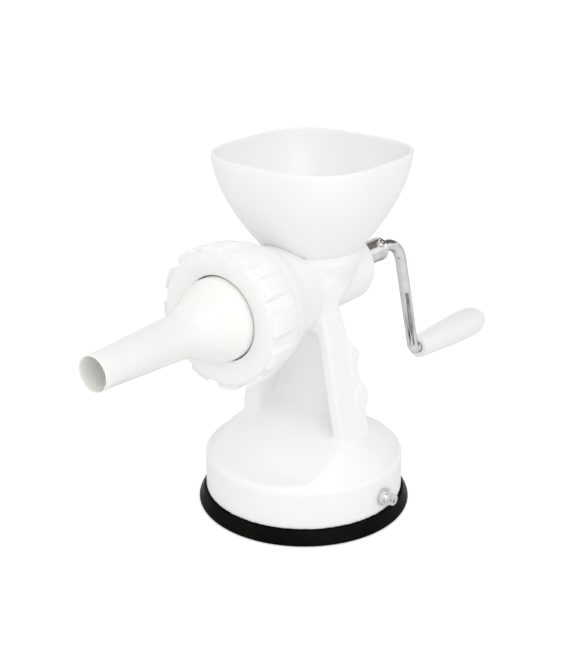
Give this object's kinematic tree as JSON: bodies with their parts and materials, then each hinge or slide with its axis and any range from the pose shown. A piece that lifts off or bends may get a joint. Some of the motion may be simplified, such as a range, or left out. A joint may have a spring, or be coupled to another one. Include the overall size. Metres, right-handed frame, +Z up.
{
  "type": "meat grinder",
  "caption": "Hand crank meat grinder: square hopper, horizontal barrel with ring nut and stuffing nozzle, bent crank with drop-shaped grip, rubber suction base with a lever.",
  "frame": {"origin": "centre of the rubber cup's foot, on the table", "axes": "+Z up; the barrel and the drive turn about an axis along Y at x = 0, with the nozzle to -Y and the crank to +Y; the suction lever is at +X"},
  "size_m": [0.127, 0.3718, 0.2122],
  "materials": {
    "white_plastic": "smooth glossy white moulding",
    "cream_plastic": "smooth, slightly milky nozzle moulding",
    "polished_steel": "bright polished",
    "brushed_steel": "ground and brushed",
    "black_rubber": "smooth satin rubber"
  },
  "bodies": {
    "stand": {"housing": "white_plastic", "hole_plate": "brushed_steel", "plate_pin": "brushed_steel", "stuffing_nozzle": "cream_plastic", "rear_bush": "cream_plastic", "shaft_seal": "black_rubber", "suction_cup": "black_rubber", "base_plate": "white_plastic", "base_screws": "brushed_steel", "stem_spring": "brushed_steel"},
    "hopper": {"hopper": "white_plastic"},
    "nut": {"ring_nut": "white_plastic"},
    "drive": {"auger": "cream_plastic", "cross_knife": "brushed_steel", "drive_shaft": "brushed_steel", "thrust_washer": "brushed_steel", "crank_hub": "polished_steel", "hub_pin": "polished_steel", "crank_arm": "polished_steel", "hub_screw": "polished_steel", "grip_washer": "brushed_steel"},
    "grip": {"grip": "white_plastic", "grip_plug": "white_plastic"},
    "lever": {"lever_axle": "polished_steel", "suction_lever": "polished_steel", "lever_screw": "polished_steel"},
    "stem": {"lift_stem": "brushed_steel", "cup_plate": "brushed_steel"}
  },
  "joints": [
    {"name": "crank_turn", "type": "hinge", "parent": "stand", "child": "drive", "pos_m": [0, 0, 0.137], "axis": [0, 1, 0], "continuous": true},
    {"name": "grip_spin", "type": "hinge", "parent": "drive", "child": "grip", "pos_m": [0, 0.11833, 0.0563], "axis": [0, 0.9991, -0.0419], "continuous": true},
    {"name": "nut_turn", "type": "hinge", "parent": "stand", "child": "nut", "pos_m": [0, 0, 0.137], "axis": [0, 1, 0], "range_deg": [-360, 0]},
    {"name": "hopper_lift", "type": "slide", "parent": "stand", "child": "hopper", "axis": [0, 0, 1], "range_m": [0, 0.08]},
    {"name": "lever_flip", "type": "hinge", "parent": "stand", "child": "lever", "pos_m": [0, 0, 0.019], "axis": [0.999, -0.0436, 0], "range_deg": [0, 90]},
    {"name": "stem_rise", "type": "slide", "parent": "stand", "child": "stem", "axis": [0, 0, 1], "range_m": [0, 0.0036], "deforming": ["stem_spring"]}
  ],
  "couplings": [
    {"joint": "stem_rise", "follows": "lever_flip", "m_per_rad": 0.0022508}
  ]
}
